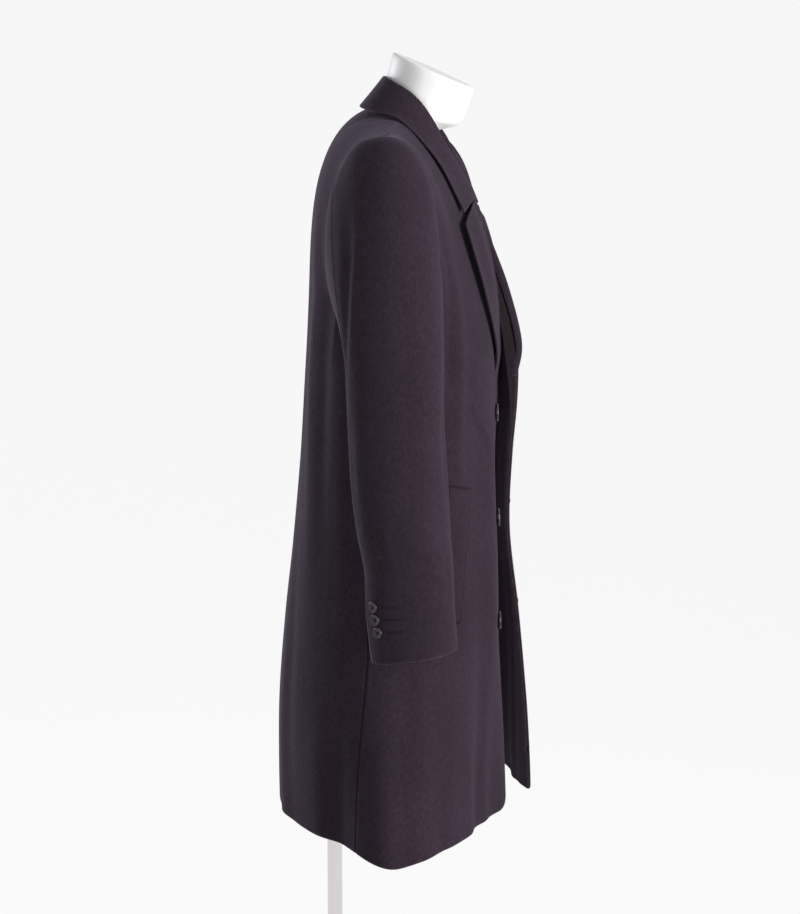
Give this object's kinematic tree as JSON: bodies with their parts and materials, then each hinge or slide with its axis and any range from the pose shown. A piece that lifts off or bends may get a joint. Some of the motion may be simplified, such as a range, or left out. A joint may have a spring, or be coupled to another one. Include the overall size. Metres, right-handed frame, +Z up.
{
  "type": "wool overcoat on a limbless dress form with a stand",
  "caption": "Knee-length single-breasted wool overcoat with notch lapels, slanted welt pockets and long two-piece sleeves, worn open on a limbless torso form with a pole and a round base.",
  "frame": {"origin": "centre of the stand base's underside, on the pole's axis", "axes": "+Z up along the pole; the front of the coat faces -Y and the wearer's right side is -X"},
  "size_m": [0.6398, 0.4749, 1.553],
  "materials": {
    "wool": "matt melton wool with a short nap and a soft sheen",
    "facing": "matt wool, inner side",
    "horn": "dark horn, satin",
    "form": "smooth white shell, satin",
    "chrome": "polished"
  },
  "bodies": {
    "root": {"back": "wool", "button_cuff_left_1": "horn", "button_cuff_left_2": "horn", "button_cuff_left_3": "horn", "button_cuff_right_1": "horn", "button_cuff_right_2": "horn", "button_cuff_right_3": "horn", "button_front_1": "horn", "button_front_2": "horn", "button_front_3": "horn", "collar": "wool", "facing_left": "facing", "facing_right": "facing", "form_body": "form", "front_left": "wool", "front_right": "wool", "lapel_left": "wool", "lapel_right": "wool", "sleeve_top_left": "wool", "sleeve_top_right": "wool", "sleeve_under_left": "wool", "sleeve_under_right": "wool", "stand_base": "chrome", "stand_pole": "chrome", "welt_left": "wool", "welt_right": "wool"}
  },
  "joints": []
}
